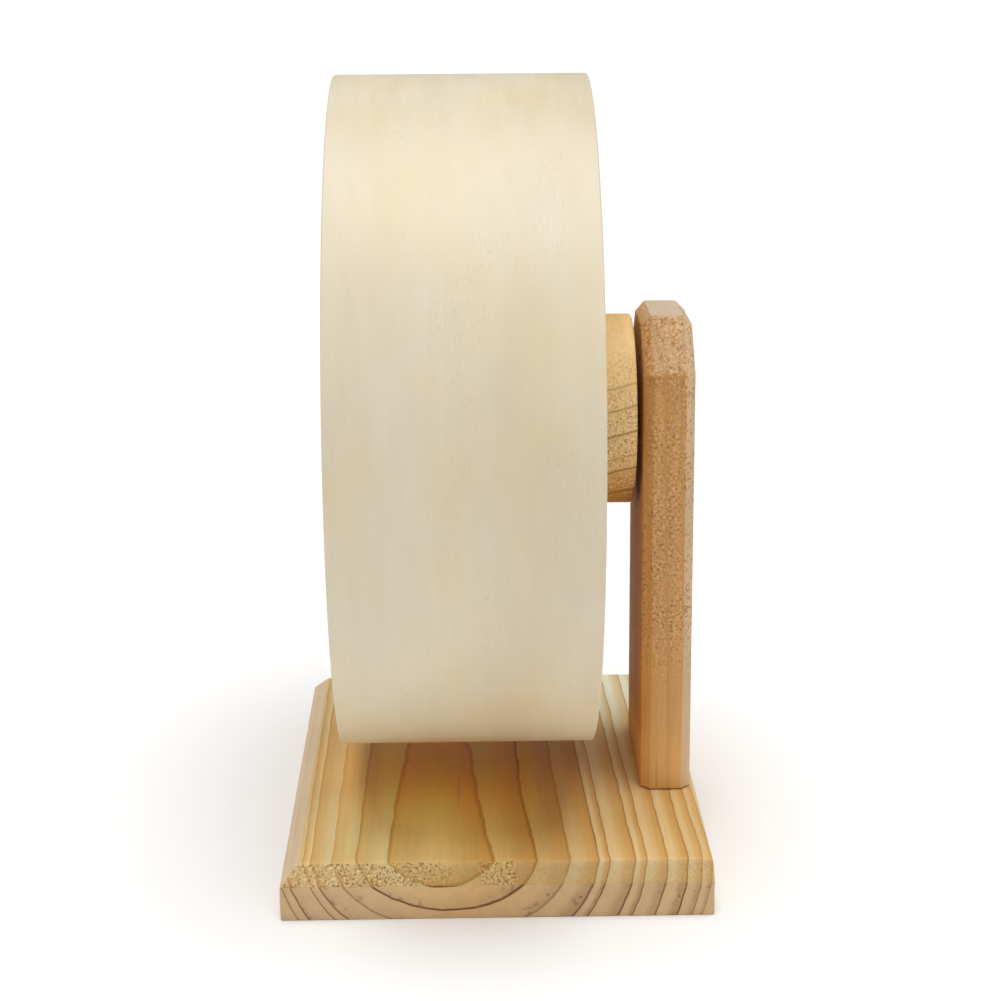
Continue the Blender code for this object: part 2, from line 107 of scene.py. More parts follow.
# Finer than the CAD: worn edges with small dents, shallow steps, joints, and clearances
RIM_EDGE = 0.5 * MM
DISC_EDGE = 0.25 * MM
ARRIS = 0.35 * MM
DENT_STEP = 4 * MM
DENT_NOISE = 210
DENT_LEAST = 0.06 * MM
DENT_MORE = 0.3 * MM
SHIELD_FLAT = 8.6 * MM
SHIELD_DISH = 8.3 * MM
SHIELD_STEP = 0.08 * MM
LAP_ANGLE = math.pi
LAP_WIDTH = 0.4 * MM
LAP_DEPTH = 0.25 * MM
CORK_JOINT_ANGLE = math.radians(-50)
CORK_JOINT_GAP = 0.5 * MM
CORK_UNEVENNESS = 0.12 * MM
CORK_NOISE = 330
OVERSHOOT = 2 * MM
SCREW_GAP = 0.2 * MM
FIT_GAP = 0.15 * MM
SEAT_GAP = 0.1 * MM

# How finely the pieces are cut up
SHARP_ANGLE = math.radians(35)
MESH_STEP = 2 * MM
RIM_SIDES = 360
CORK_SIDES = 420
DISC_SIDES = 256
HUB_SIDES = 192
BEARING_SIDES = 96
BOLT_SIDES = 64
HOLE_SIDES = 32
SCREW_SIDES = 24

# The photograph's camera
CAMERA_PLACE = Vector((0.7078, -0.0082, 0.2979))
CAMERA_PITCH = math.radians(15.27)
CAMERA_YAW = math.radians(0.913)
CAMERA_ROLL = math.radians(-0.409)
CAMERA_LENS = 82.1
CAMERA_SENSOR = 36

# The studio
FLOOR_HALF = 12
SKY_STRENGTH = 0.27

TURN_TO_Y = Matrix.Rotation(-math.pi / 2, 4, "X")
TURN_OVER = Matrix.Rotation(math.pi, 4, "X")


# Materials


class Shader:
    """One material's node tree. Its operations add a node and return the socket that carries the result."""

    def __init__(self, name):
        self.material = bpy.data.materials.new(name)
        self.material.use_nodes = True
        self.nodes = self.material.node_tree.nodes
        self.links = self.material.node_tree.links
        self.surface = self.nodes["Principled BSDF"]
        self.coordinates = self.node("TexCoord")

    def fill(self, socket, value):
        if isinstance(value, bpy.types.NodeSocket):
            self.links.new(value, socket)
        else:
            socket.default_value = value

    def node(self, kind, **inputs):
        """A new node with its inputs filled by name, where an underscore stands for a space."""
        made = self.nodes.new("ShaderNode" + kind)
        for name, value in inputs.items():
            self.fill(made.inputs[name.replace("_", " ")], value)
        return made

    def place(self):
        return self.coordinates.outputs["Object"]

    def normal(self):
        return self.coordinates.outputs["Normal"]

    def math(self, operation, first, second=0.0):
        made = self.node("Math")
        made.operation = operation
        self.fill(made.inputs[0], first)
        self.fill(made.inputs[1], second)
        return made.outputs[0]

    def vector(self, operation, first, second=(0, 0, 0), result="Vector"):
        made = self.node("VectorMath")
        made.operation = operation
        self.fill(made.inputs[0], first)
        self.fill(made.inputs["Scale" if operation == "SCALE" else 1], second)
        return made.outputs[result]

    def dot(self, first, second):
        return self.vector("DOT_PRODUCT", first, second, "Value")

    def length(self, value):
        return self.vector("LENGTH", value, result="Value")

    def product(self, first, *others):
        for other in others:
            first = self.math("MULTIPLY", first, other)
        return first

    def add(self, first, second):
        return self.math("ADD", first, second)

    def minus(self, first, second):
        return self.math("SUBTRACT", first, second)

    def stretched(self, place, factors):
        return self.vector("MULTIPLY", place, factors)

    def noise(self, place, scale, detail=2.0, roughness=0.5, result="Fac"):
        made = self.node("TexNoise", Vector=place, Scale=scale, Detail=detail, Roughness=roughness)
        return made.outputs[result]

    def pushed(self, place, noise_place, scale, size):
        """place, moved about in all directions by a noise."""
        push = self.noise(noise_place, scale, 2, 0.5, "Color")
        push = self.vector("SUBTRACT", push, (0.5, 0.5, 0.5))
        return self.vector("ADD", place, self.vector("SCALE", push, size))

    def cells(self, place, scale, result="Distance", feature="F1"):
        made = self.node("TexVoronoi", Vector=place, Scale=scale)
        made.feature = feature
        return made.outputs[result]

    def fade(self, value, start, end, low=0.0, high=1.0):
        """A smooth step from low to high as value goes from start to end."""
        made = self.node("MapRange", Value=value, From_Min=start, From_Max=end, To_Min=low, To_Max=high)
        made.interpolation_type = "SMOOTHSTEP"
        return made.outputs["Result"]

    def vary(self, value, low, high):
        """A value from low to high that follows a noise through its usual range."""
        return self.fade(value, 0.3, 0.7, low, high)

    def mix(self, factor, first, second, blend="MIX"):
        made = self.node("Mix")
        made.data_type = "RGBA"
        made.blend_type = blend
        made.clamp_result = True
        self.fill(made.inputs[0], factor)
        self.fill(made.inputs[6], as_colour(first))
        self.fill(made.inputs[7], as_colour(second))
        return made.outputs[2]

    def ramp(self, factor, stops):
        made = self.node("ValToRGB", Fac=factor)
        elements = made.color_ramp.elements
        while len(elements) < len(stops):
            elements.new(0.5)
        for element, (position, colour) in zip(elements, stops):
            element.position = position
            element.color = as_colour(colour)
        return made.outputs["Color"]

    def curve(self, value, points):
        made = self.node("FloatCurve", Value=value)
        line = made.mapping.curves[0]
        line.points[0].location = points[0]
        line.points[1].location = points[-1]
        for x, y in points[1:-1]:
            line.points.new(x, y)
        for point in line.points:
            point.handle_type = "VECTOR"
        made.mapping.update()
        return made.outputs["Value"]

    def bump(self, height, strength, distance):
        return self.node("Bump", Height=height, Strength=strength, Distance=distance).outputs["Normal"]

    def finish(self, colour, roughness, normal=None, metallic=0.0, specular=0.5):
        looks = {"Base Color": colour, "Roughness": roughness, "Metallic": metallic}
        looks["Specular IOR Level"] = specular
        if normal:
            looks["Normal"] = normal
        for name, value in looks.items():
            self.fill(self.surface.inputs[name], value)
        return self.material


def as_colour(value):
    """A colour with its alpha added; a socket stays as it is."""
    return (*value, 1) if isinstance(value, tuple) and len(value) == 3 else value


def within(shader, place, centre, reach, core):
    """1 in an ellipsoid's core, fading to 0 at its surface. Its centre and reach are in millimetres."""
    offset = shader.vector("SUBTRACT", place, tuple(c * MM for c in centre))
    offset = shader.stretched(offset, tuple(1 / (r * MM) for r in reach))
    return shader.fade(shader.length(offset), core, 1, 1, 0)


def oval_radius(shader, across, oval):
    """The distance from the pith in a stem that is flatter at its sides and grew faster towards +Y."""
    sideways = shader.dot(across, (0, 1, 0))
    flatness = shader.fade(shader.math("ABSOLUTE", sideways), 0, oval["reach"] * MM, 1, oval["flatness"])
    height = shader.product(shader.dot(across, (0, 0, 1)), flatness)
    squares = shader.add(shader.product(sideways, sideways), shader.product(height, height))
    return shader.minus(shader.math("SQRT", squares), shader.product(sideways, oval["growth"]))


def ring_phase(shader, place, tree):
    """How many growth rings lie between the pith and a point."""
    moved = place
    for wave in tree["waves"]:
        stretched = shader.stretched(place, wave["stretch"])
        moved = shader.pushed(moved, stretched, wave["scale"], wave["size"] * MM)
    if "bend" in tree:
        bend = tree["bend"]
        bent = within(shader, place, bend["centre"], bend["reach"], 0)
        moved = shader.vector("ADD", moved, shader.vector("SCALE", (0, bend["shift"] * MM, 0), bent))
    from_pith = shader.vector("SUBTRACT", moved, tree["pith"])
    along = shader.vector("SCALE", tree["axis"], shader.dot(from_pith, tree["axis"]))
    across = shader.vector("SUBTRACT", from_pith, along)
    radius = oval_radius(shader, across, tree["oval"]) if "oval" in tree else shader.length(across)
    rings = tree["rings"]
    points = [(0, 0)] + [(r / rings[-1], (i + 1) / len(rings)) for i, r in enumerate(rings)]
    share = shader.math("DIVIDE", radius, rings[-1] * MM)
    return shader.product(shader.curve(share, points), len(rings))


# The tones across one growth ring, from its first wood at 0 to the dark line that ends it at 1
SIDE = (
    (0, "early"), (0.3, "early"), (0.55, "middle"), (0.9, "band"), (0.945, "line"), (0.98, "line"),
    (1, "early"),
)
PLAIN_SIDE = ((0, "early"), (0.88, "middle"), (0.93, "thin_line"), (0.975, "thin_line"), (1, "early"))
END = (
    (0, "end_early"), (0.4, "end_early"), (0.75, "end_band"), (0.89, "end_band"), (0.92, "end_line"),
    (0.98, "end_line"), (1, "end_early"),
)
PLAIN_END = ((0, "end_early"), (0.88, "end_early"), (0.92, "end_line"), (0.98, "end_line"), (1, "end_early"))


def wood(name, tree, tones, fuzz):
    """Solid wood: rings about a pith, fibres along the grain, pores, and end grain with tones of its own."""
    shader = Shader(name)
    place = shader.place()
    phase = ring_phase(shader, place, tree)
    ring = shader.math("FRACT", phase)

    def ring_tones(stops):
        return shader.ramp(ring, [(position, tones[tone]) for position, tone in stops])

    side = ring_tones(SIDE)
    end = ring_tones(END)
    if "rich" in tree:
        rich = tree["rich"]
        richness = shader.fade(shader.dot(place, rich["side"]), rich["start"], rich["end"], rich["least"], 1)
        side = shader.mix(richness, ring_tones(PLAIN_SIDE), side)
        end = shader.mix(richness, ring_tones(PLAIN_END), end)
    dice = shader.node("TexWhiteNoise")
    dice.noise_dimensions = "1D"
    shader.links.new(shader.math("FLOOR", phase), dice.inputs["W"])
    weight = shader.fade(dice.outputs["Value"], 0, 1, tones["line_least"], 1)
    side = shader.mix(weight, tones["middle"], side)
    end = shader.mix(weight, tones["end_early"], end)
    if "speck" in tones:
        end = specked(shader, place, ring, end, tones["speck"])

    facing = shader.math("ABSOLUTE", shader.dot(shader.normal(), tree["axis"]))
    end_share = shader.fade(facing, *tree["end_faces"])
    # Faces cut slantwise across the grain, such as chamfers, are darkened: partly for their open fibres,
    # partly as painted shade against the stronger light that falls on them.
    side = shader.vector("SCALE", side, shader.fade(facing, 0.45, 0.7, 1, tones["cut_grain_and_painted_shade"]))
    colour = shader.mix(end_share, side, end)
    # Patches that scale the colour in place. Most are painted light and painted shade, described with each
    # wood.
    for centre, reach, tone in tones["painted_light_and_tone_patches"]:
        colour = shader.mix(within(shader, place, centre, reach, 0.2), colour, tone, "MULTIPLY")
    # Painted light: faces turned one way get a paler tone, as if lit from that side.
    for direction, start, full, share, tone in tones["painted_light_sides"]:
        turned = shader.dot(shader.normal(), direction)
        colour = shader.mix(shader.fade(turned, start, full, 0, share), colour, tone)

    fibre_place = shader.stretched(place, tree["fibre"])
    fibres = shader.noise(fibre_place, 900, 3, 0.6)
    grains = shader.noise(place, 1500, 2, 0.6)
    fine = shader.mix(end_share, fibres, grains)
    streaks = shader.noise(fibre_place, 170, 2, 0.5)
    clouds = shader.noise(place, 28, 3, 0.55)
    tint = 1.0
    for value, amount in zip((fine, streaks, clouds), tones["tints"]):
        tint = shader.add(tint, shader.vary(value, -amount, amount))
    colour = shader.vector("SCALE", colour, tint)

    pores = shader.cells(fibre_place, tones["pore_scale"])
    pore = shader.product(shader.fade(pores, 0.05, 0.11, tones["pore_share"], 0), shader.fade(ring, 0.3, 0.8))
    colour = shader.mix(pore, colour, tones["pore"])

    height = shader.add(shader.product(fine, 0.5), shader.product(ring, 0.3))
    height = shader.minus(height, shader.product(pore, 1.2))
    colour, height = torn_grain(shader, place, facing, ring, colour, height, fuzz)
    roughness = shader.vary(streaks, tones["roughness"] - 0.06, tones["roughness"] + 0.06)
    return shader.finish(colour, roughness, shader.bump(height, 0.35, 0.25 * MM), specular=tones["specular"])


def specked(shader, place, ring, end, tone):
    """Dark specks and smudges in the late wood of an end face, where resin and dust fill the cut fibres."""
    late = shader.fade(ring, 0.45, 0.75, 0.12, 1)
    smudge = shader.fade(shader.noise(place, 420, 2, 0.6), 0.54, 0.7, 0, 0.55)
    speck = shader.fade(shader.cells(place, 330), 0.12, 0.24, 0.75, 0)
    rare = shader.fade(shader.noise(place, 190, 1, 0.5), 0.5, 0.6)
    both = shader.math("MAXIMUM", smudge, shader.product(speck, rare))
    return shader.mix(shader.product(late, both), end, tone)


def torn_grain(shader, place, facing, ring, colour, height, fuzz):
    """Fine broken fibres where a cutter went across the grain: pale tufts with dark pits beside them."""
    patch = shader.fade(shader.dot(place, fuzz["side"]), fuzz["start"], fuzz["end"], 1, fuzz["least"])
    if "second" in fuzz:
        patch = shader.math("MAXIMUM", patch, within(shader, place, *fuzz["second"], 0.6))
    where = shader.product(
        patch,
        shader.fade(facing, fuzz["from"], fuzz["from"] + 0.08),
        shader.fade(facing, fuzz["to"], fuzz["to"] + 0.08, 1, 0),
        shader.fade(shader.noise(place, fuzz["patch_scale"], 2), 0.35, 0.55, fuzz["gap"], 1),
        shader.fade(ring, 0.75, 0.95, 1, fuzz["on_line"]),
    )
    tufts = shader.noise(place, fuzz["scale"], 2, 0.55)
    colour = shader.mix(shader.product(where, shader.fade(tufts, 0.55, 0.65, 0, 0.95)), colour, fuzz["tuft"])
    colour = shader.mix(shader.product(where, shader.fade(tufts, 0.455, 0.365, 0, 0.9)), colour, fuzz["pit"])
    return colour, shader.add(height, shader.product(where, tufts, 3.0))


def base_pine():
    """A flat-sawn board: the pith is a little above the top face, and the rings hang below it."""
    tree = {
        "pith": (BASE_HIGH.x, -21 * MM, 35.2 * MM),
        "axis": tuple(Vector((1, 0.018, -0.037)).normalized()),
        "oval": {"reach": 70, "flatness": 0.76, "growth": 0.18},
        "bend": {"centre": (40, -4, 16), "reach": (85, 29, 60), "shift": 3},
        "rich": {"side": (0, 1, 0), "start": -15 * MM, "end": 30 * MM, "least": 0.3},
        "rings": [9, 17, 24.7, 32, 38.4, 44.7, 47, 53, 55.6, 60.7, 65.6, 69, 71.3, 76, 80, 85],
        "waves": [
            {"stretch": (0.35, 1, 1), "scale": 22, "size": 0.8},
            {"stretch": (0.6, 1, 1), "scale": 130, "size": 1.1},
        ],
        "fibre": (0.03, 1, 1), "end_faces": (0.82, 0.95),
    }
    tones = {
        "early": (0.76, 0.56, 0.27), "middle": (0.69, 0.43, 0.155), "band": (0.61, 0.325, 0.085),
        "line": (0.38, 0.18, 0.045), "thin_line": (0.61, 0.335, 0.075), "line_least": 0.55,
        "end_early": (0.63, 0.425, 0.222), "end_band": (0.45, 0.27, 0.13), "end_line": (0.14, 0.05, 0.015),
        # The chamfers are darkened, partly for their open fibres and partly as painted shade against the
        # stronger light on them.
        "speck": (0.22, 0.12, 0.06), "cut_grain_and_painted_shade": 0.74,
        # Painted light: each patch lightens or warms the top where the drum's shadow falls on it: under the
        # drum, in front of it, and behind it between the drum and the post.
        "painted_light_and_tone_patches": [
            ((35, -8, 16), (90, 50, 40), (1.15, 1.0, 0.62)),
            ((0, -15, 16), (68, 52, 30), (1.35, 1.12, 0.66)),
            ((-87, 10, 16), (85, 100, 40), (1.08, 1.27, 1.6)),
            ((-60, 40, 16), (52, 22, 30), (1.1, 1.32, 1.8)),
            ((56, -28, 16), (48, 36, 20), (1.15, 1.34, 1.5)),
        ],
        # Painted light: faces turned towards -Y get a paler tone, as if lit from that side.
        "painted_light_sides": [((0, -1, 0), 0.4, 0.65, 0.6, (0.78, 0.60, 0.40))],
        "tints": (0.035, 0.03, 0.03), "pore_scale": 160, "pore_share": 0.35, "pore": (0.22, 0.09, 0.03),
        "roughness": 0.48, "specular": 0.3,
    }
    fuzz = {
        "from": 0.5, "to": 0.8, "side": (0, 1, 0), "start": -22 * MM, "end": -9 * MM, "least": 0.16,
        "second": ((87, 0, 14), (20, 7, 20)), "on_line": 0.8,
        "patch_scale": 60, "gap": 0.6, "scale": 1250, "tuft": (0.84, 0.60, 0.28), "pit": (0.22, 0.09, 0.012),
    }
    return wood("pine board", tree, tones, fuzz)


def hub_pine():
    """A block sawn so that its rings lie almost level at rest, with end grain towards +X and -X."""
    tilt = math.radians(15)
    ring_normal = Vector((0, -math.sin(tilt), math.cos(tilt)))
    centre = Vector((0, (HUB_LOW.y + HUB_HIGH.y) / 2, AXLE_HEIGHT))
    depth = 90 * MM
    tree = {
        "pith": tuple(centre - depth * ring_normal),
        "axis": (1, 0, 0),
        "rich": {"side": (0, 0, -1), "start": -125 * MM, "end": -106 * MM, "least": 0.3},
        "rings": [12, 20, 28, 36, 44, 52, 60, 69, 76.9, 81.1, 88.5, 95.9, 102.2, 125],
        "waves": [
            {"stretch": (0.3, 1, 1), "scale": 30, "size": 2.5},
            {"stretch": (0.6, 1, 1), "scale": 260, "size": 0.8},
        ],
        "fibre": (0.03, 1, 1), "end_faces": (0.5, 0.75),
    }
    tones = {
        "early": (0.80, 0.58, 0.29), "middle": (0.74, 0.49, 0.21), "band": (0.64, 0.36, 0.10),
        "line": (0.42, 0.21, 0.06), "thin_line": (0.42, 0.21, 0.06), "line_least": 0.5,
        "end_early": (0.72, 0.49, 0.22), "end_band": (0.62, 0.38, 0.13), "end_line": (0.34, 0.18, 0.055),
        # Painted shade: the patch makes the hub darker and warmer towards its bottom, where shade falls under
        # it.
        "cut_grain_and_painted_shade": 1.0, "painted_light_and_tone_patches": [((20, 37, 100), (70, 60, 34), (0.84, 0.54, 0.24))], "painted_light_sides": [],
        "tints": (0.05, 0.04, 0.05), "pore_scale": 140, "pore_share": 0.7, "pore": (0.20, 0.08, 0.02),
        "roughness": 0.62, "specular": 0.3,
    }
    fuzz = {
        "from": 0.55, "to": 2.0, "side": (0, 0, 1), "start": AXLE_HEIGHT, "end": AXLE_HEIGHT + 18 * MM,
        "least": 0.4, "on_line": 0.25, "patch_scale": 120, "gap": 0.4, "scale": 1500,
        "tuft": (0.84, 0.64, 0.34), "pit": (0.38, 0.20, 0.055),
    }
    return wood("pine hub", tree, tones, fuzz)


def post_fir():
    """A reddish plank with its grain upright and its rings nearly square to the wide faces."""
    tree = {
        "pith": (8 * MM, POST_HIGH.y + 60 * MM, 0),
        "axis": tuple(Vector((0.012, -0.02, 1)).normalized()),
        "rings": [5 * i for i in range(4, 26)],
        "waves": [
            {"stretch": (1, 1, 0.2), "scale": 25, "size": 3.0},
            {"stretch": (1, 1, 0.4), "scale": 200, "size": 0.8},
        ],
        "fibre": (1, 1, 0.04), "end_faces": (0.5, 0.68),
    }
    tones = {
        "early": (0.625, 0.345, 0.135), "middle": (0.61, 0.33, 0.125), "band": (0.59, 0.31, 0.11),
        "line": (0.57, 0.295, 0.105), "line_least": 0.3,
        "end_early": (0.60, 0.40, 0.22), "end_band": (0.57, 0.37, 0.195), "end_line": (0.55, 0.35, 0.18),
        "speck": (0.26, 0.12, 0.05), "cut_grain_and_painted_shade": 1.0,
        "painted_light_and_tone_patches": [
            # Painted light: the face towards the drum is warmer, standing in for warm light bounced into the
            # drum's shade.
            ((0, 45, 60), (80, 7, 110), (1.25, 1.0, 0.62)),
            # Darker towards the post's top front.
            ((28, 55, 185), (60, 60, 75), (0.82, 0.78, 0.74)),
            # Painted light: lighter at the foot, where shade falls next to the base.
            ((28, 55, 16), (60, 60, 30), (1.22, 1.25, 1.25)),
        ],
        # Painted light: faces towards +Y and the top face get paler, greyer tones, a painted sheen as of
        # white light from that side and from above.
        "painted_light_sides": [
            ((0, 1, 0), 0.4, 0.65, 0.8, (0.66, 0.48, 0.31)),
            ((0, 0, 1), 0.8, 0.95, 0.8, (0.54, 0.45, 0.34)),
        ],
        "tints": (0.05, 0.035, 0.05), "pore_scale": 260, "pore_share": 0.3, "pore": (0.25, 0.10, 0.035),
        "roughness": 0.62, "specular": 0.15,
    }
    fuzz = {
        "from": -0.5, "to": 0.9, "side": (0, 0, -1), "start": -75 * MM, "end": -45 * MM, "least": 0.08,
        "on_line": 0.25, "patch_scale": 90, "gap": 0.5, "scale": 1100,
        "tuft": (0.72, 0.45, 0.21), "pit": (0.34, 0.155, 0.045),
    }
    return wood("red fir", tree, tones, fuzz)


def veneer(name, sheet_place, across_plies, thickness, faces_along_axle):
    """Poplar plywood: a smooth pale face with short pores along the grain, and plies on its cut edges.

    sheet_place gives a point's place on the sheet, with the grain along x, and across_plies its depth in it.
    faces_along_axle says that the sheet's faces, and not its edges, look along the axle.
    """
    shader = Shader(name)
    sheet = sheet_place(shader)

    def grain_noise(stretch, scale, detail, roughness):
        return shader.noise(shader.stretched(sheet, (stretch, 1, 1)), scale, detail, roughness)

    blotches = grain_noise(0.5, 24, 3, 0.5)
    hues = grain_noise(0.6, 38, 2, 0.5)
    streaks = grain_noise(0.12, 260, 3, 0.6)
    fibres = grain_noise(0.04, 1600, 2, 0.6)
    face = shader.ramp(blotches, [
        (0.3, (0.69, 0.59, 0.42)), (0.5, (0.73, 0.64, 0.47)), (0.7, (0.75, 0.67, 0.51)),
    ])
    hue = shader.ramp(hues, [
        (0.35, (1.0, 0.965, 0.885)), (0.5, (0.99, 0.985, 0.97)), (0.65, (0.985, 0.985, 1.0)),
    ])
    face = shader.mix(1, face, hue, "MULTIPLY")
    fleck = shader.product(shader.fade(grain_noise(0.2, 2000, 1, 0.5), 0.6, 0.72),
                           shader.fade(grain_noise(0.5, 60, 2, 0.5), 0.48, 0.68, 0.04, 1))
    face = shader.mix(shader.product(fleck, 0.3), face, (0.52, 0.39, 0.23))
    tint = shader.add(shader.vary(streaks, -0.012, 0.012), shader.vary(fibres, -0.008, 0.008))
    face = shader.vector("SCALE", face, shader.add(1.0, tint))

    depth = across_plies(shader)
    core = shader.product(shader.fade(depth, thickness * 0.30, thickness * 0.34),
                          shader.fade(depth, thickness * 0.66, thickness * 0.70, 1, 0))
    edge_noise = shader.noise(wheel_place(shader), 700, 3, 0.6)
    outer_ply = shader.ramp(edge_noise, [(0.3, (0.74, 0.61, 0.42)), (0.7, (0.84, 0.73, 0.54))])
    core_ply = shader.ramp(edge_noise, [(0.3, (0.42, 0.28, 0.15)), (0.7, (0.62, 0.46, 0.28))])
    plies = shader.mix(core, outer_ply, core_ply)
    glue = 0.0
    for share in (0.32, 0.68):
        away = shader.math("ABSOLUTE", shader.minus(depth, thickness * share))
        glue = shader.add(glue, shader.fade(away, 0.04 * MM, 0.12 * MM, 0.6, 0))
    plies = shader.mix(glue, plies, (0.36, 0.22, 0.11))

    along_axle = shader.math("ABSOLUTE", shader.dot(shader.normal(), (0, 1, 0)))
    on_edge = shader.fade(along_axle, 0.6, 0.9, *((1, 0) if faces_along_axle else (0, 1)))
    relief = shader.minus(fibres, shader.product(fleck, 0.8))
    bump = shader.bump(shader.mix(on_edge, relief, edge_noise), 0.25, 0.15 * MM)
    return shader.finish(shader.mix(on_edge, face, plies), shader.vary(streaks, 0.4, 0.5), bump)


def wheel_place(shader):
    return shader.vector("SUBTRACT", shader.place(), (0, 0, AXLE_HEIGHT))


def rim_veneer():
    def unrolled(shader):
        """The place on the flat strip, which the band's mesh carries."""
        made = shader.node("Attribute")
        made.attribute_name = "grain"
        return made.outputs["Vector"]

    def depth(shader):
        """How far a point lies inside the drum's outer face."""
        flat = shader.stretched(wheel_place(shader), (1, 0, 1))
        return shader.minus(RIM_RADIUS, shader.length(flat))

    return veneer("drum veneer", unrolled, depth, RIM_THICKNESS, faces_along_axle=False)


def disc_veneer():
    def sheet(shader):
        """Grain upright at rest: the noise's x runs along Z."""
        along = shader.node("SeparateXYZ", Vector=wheel_place(shader)).outputs
        return shader.node("CombineXYZ", X=along["Z"], Y=along["X"], Z=along["Y"]).outputs["Vector"]

    def depth(shader):
        return shader.minus(shader.dot(shader.place(), (0, 1, 0)), DISC_LOW.y)

    return veneer("disc veneer", sheet, depth, DISC_HIGH.y - DISC_LOW.y, faces_along_axle=True)


def cork_sheet():
    """Pressed cork: granules of several browns, with darker flecks and pits between them."""
    shader = Shader("cork")
    place = shader.place()
    warped = shader.pushed(place, place, 420, 1.6 * MM)
    tone = shader.dot(shader.cells(warped, 520, "Color"), (0.33, 0.33, 0.33))
    colour = shader.ramp(tone, [
        (0.2, (0.30, 0.155, 0.07)), (0.42, (0.45, 0.26, 0.125)), (0.6, (0.56, 0.35, 0.18)),
        (0.8, (0.64, 0.43, 0.25)),
    ])
    gaps = shader.cells(warped, 520, feature="DISTANCE_TO_EDGE")
    gap = shader.fade(gaps, 0.02, 0.1, 0.55, 0)
    colour = shader.mix(gap, colour, (0.20, 0.10, 0.045))
    bark = shader.fade(shader.cells(place, 230), 0.07, 0.14, 0.8, 0)
    colour = shader.mix(bark, colour, (0.10, 0.045, 0.02))
    fine = shader.noise(place, 2600, 2, 0.6)
    height = shader.minus(shader.product(fine, 0.4), shader.add(gap, bark))
    roughness = shader.vary(fine, 0.82, 0.94)
    return shader.finish(colour, roughness, shader.bump(height, 0.6, 0.3 * MM), specular=0.25)


def steel(name, colour, roughness, swirl, tint):
    """Plated or ground steel: faint mottling, fine scratches, and a roughness that changes with them."""
    shader = Shader(name)
    place = shader.place()
    mottle = shader.noise(place, 260, 3, 0.6)
    scratches = shader.noise(shader.stretched(place, swirl), 4200, 2, 0.6)
    shade = shader.mix(shader.vary(mottle, 0, 1), colour, tuple(c * t for c, t in zip(colour, tint)))
    dirt = shader.fade(shader.noise(place, 900, 3, 0.6), 0.6, 0.8, 0, 0.25)
    shade = shader.mix(dirt, shade, tuple(0.5 * c for c in colour))
    rough = shader.fade(scratches, 0.25, 0.75, roughness - 0.07, roughness + 0.1)
    return shader.finish(shade, rough, shader.bump(scratches, 0.12, 0.05 * MM), metallic=1.0)


def nylon_cage():
    shader = Shader("nylon")
    cloud = shader.noise(shader.place(), 500, 2, 0.5)
    colour = shader.ramp(cloud, [(0.3, (0.70, 0.66, 0.55)), (0.7, (0.78, 0.75, 0.65))])
    return shader.finish(colour, shader.vary(cloud, 0.38, 0.5), shader.bump(cloud, 0.1, 0.05 * MM))


def studio_floor():
    shader = Shader("studio floor")
    cloud = shader.noise(shader.place(), 3, 3, 0.5)
    colour = shader.ramp(cloud, [(0.3, (0.925, 0.925, 0.925)), (0.7, (0.945, 0.945, 0.945))])
    return shader.finish(colour, shader.vary(cloud, 0.85, 0.95), specular=0.1)


# Shapes


def add_object(name, data):
    made = bpy.data.objects.new(name, data)
    bpy.context.scene.collection.objects.link(made)
    return made


def add_piece(name, mesh, material, body, slot, *nodes):
    """Shows mesh, which is in the row frame, in place of the CAD nodes, riding on a body."""
    piece = add_object(name, mesh)
    mesh.materials.clear()
    mesh.materials.append(material)
    mesh.shade_smooth()
    mesh.set_sharp_from_angle(angle=SHARP_ANGLE)
    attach(piece, body)
    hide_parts(*nodes)


def on_axle(along):
    """Stands a turned shape's own Z along the row's Y, on the axle's line."""
    return Matrix.Translation((0, along, AXLE_HEIGHT)) @ TURN_TO_Y


def to_mesh(shape, name):
    mesh = bpy.data.meshes.new(name)
    shape.to_mesh(mesh)
    shape.free()
    return mesh


def placed_mesh(shape, name, place):
    """The mesh of a shape that was built about its own Z, moved to place."""
    bmesh.ops.recalc_face_normals(shape, faces=shape.faces)
    bmesh.ops.transform(shape, matrix=place, verts=shape.verts)
    return to_mesh(shape, name)


def turned_mesh(name, profile, segments, place, swell=None):
    """A closed solid of revolution about its own Z, from (radius, height) points, then moved to place.

    A profile that starts or ends on the axis is closed by a point there. swell(angle, height, radius) changes
    a point's radius, which cuts a thread.
    """
    shape = bmesh.new()
    rings = []
    for radius, height in profile:
        if radius == 0:
            rings.append([shape.verts.new((0, 0, height))])
            continue
        ring = []
        for i in range(segments):
            angle = 2 * math.pi * i / segments
            reach = swell(angle, height, radius) if swell else radius
            ring.append(shape.verts.new((reach * math.cos(angle), reach * math.sin(angle), height)))
        rings.append(ring)
    pairs = list(zip(rings, rings[1:]))
    if profile[0][0] > 0:
        pairs.append((rings[-1], rings[0]))
    for first, second in pairs:
        for i in range(segments):
            j = (i + 1) % segments
            corners = [first[i % len(first)], first[j % len(first)]]
            corners += [second[j % len(second)], second[i % len(second)]]
            shape.faces.new(list(dict.fromkeys(corners)))
    return placed_mesh(shape, name, place)


def skin(shape, pairs):
    """Joins two loops of vertices with a belt of quads, for each pair of loops."""
    for first, second in pairs:
        for j in range(len(first)):
            k = (j + 1) % len(first)
            shape.faces.new((first[j], first[k], second[k], second[j]))


